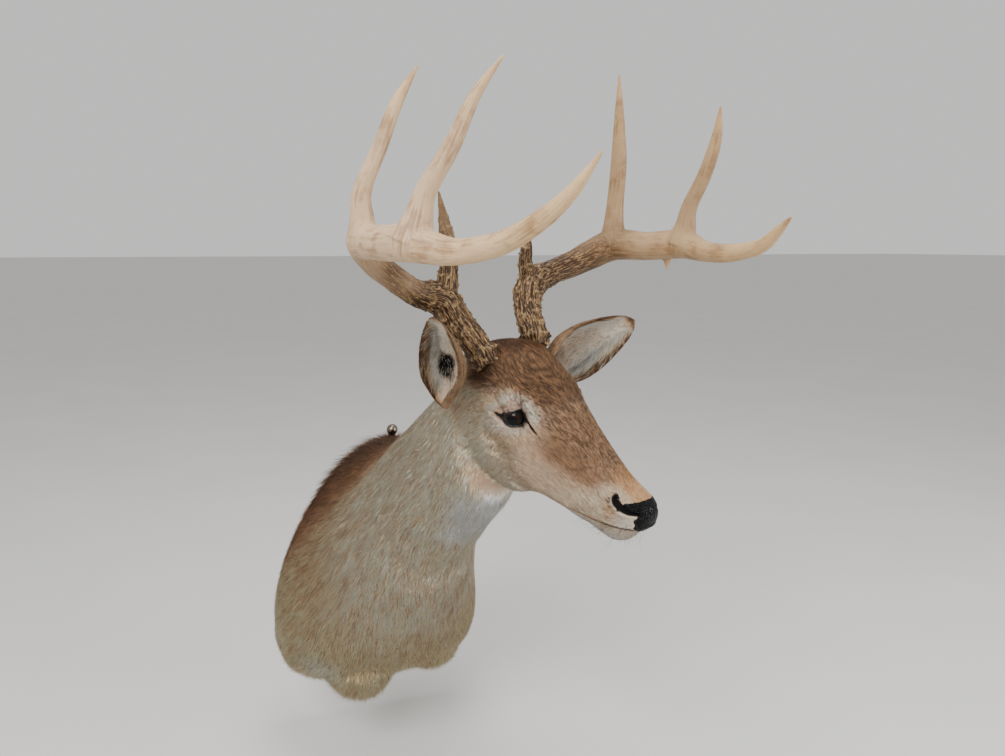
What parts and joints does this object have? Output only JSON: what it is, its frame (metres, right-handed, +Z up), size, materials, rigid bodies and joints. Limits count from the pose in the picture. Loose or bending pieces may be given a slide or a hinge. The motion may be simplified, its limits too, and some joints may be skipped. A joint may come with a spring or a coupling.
{
  "type": "deer shoulder mount",
  "caption": "Life-size taxidermy shoulder mount of a white-tailed buck with full antlers, head turned to its left, on a wooden board with a wall hanger.",
  "frame": {"origin": "on the flat back of the wall board, near its middle, where the board meets the wall", "axes": "+Z up; +Y into the wall, along the outward normal of the board's back; the deer looks out towards -Y and to +X, its own left"},
  "size_m": [0.5779, 0.7019, 0.9398],
  "materials": {
    "coat": "short brown deer hair over a tanned skin, matt",
    "nose": "black pebbled nose leather, painted and glossy",
    "eye": "dark brown glass eye, polished",
    "antler": "bone, ridged and brown at the base, smooth and pale towards the tips",
    "board": "plain plywood, unpainted",
    "hanger": "plain steel strip with a domed knob"
  },
  "bodies": {
    "root": {"trunk": "coat", "neck": "coat", "head": "coat", "lower_jaw": "coat", "leg_right": "coat", "leg_left": "coat", "ear_right": "coat", "ear_left": "coat", "nose": "nose", "eye_right": "eye", "eye_left": "eye", "backboard": "board", "hanger_plate": "hanger", "hanger_knob": "hanger", "antler_left_base": "antler", "antler_left_mid_beam": "antler", "antler_left_fork_beam": "antler", "antler_left_end_beam": "antler", "antler_left_brow_tine": "antler", "antler_left_second_tine": "antler", "antler_left_third_tine": "antler", "antler_left_thorn": "antler", "antler_right_base": "antler", "antler_right_mid_beam": "antler", "antler_right_fork_beam": "antler", "antler_right_end_beam": "antler", "antler_right_brow_tine": "antler", "antler_right_second_tine": "antler", "antler_right_third_tine": "antler"}
  },
  "joints": []
}
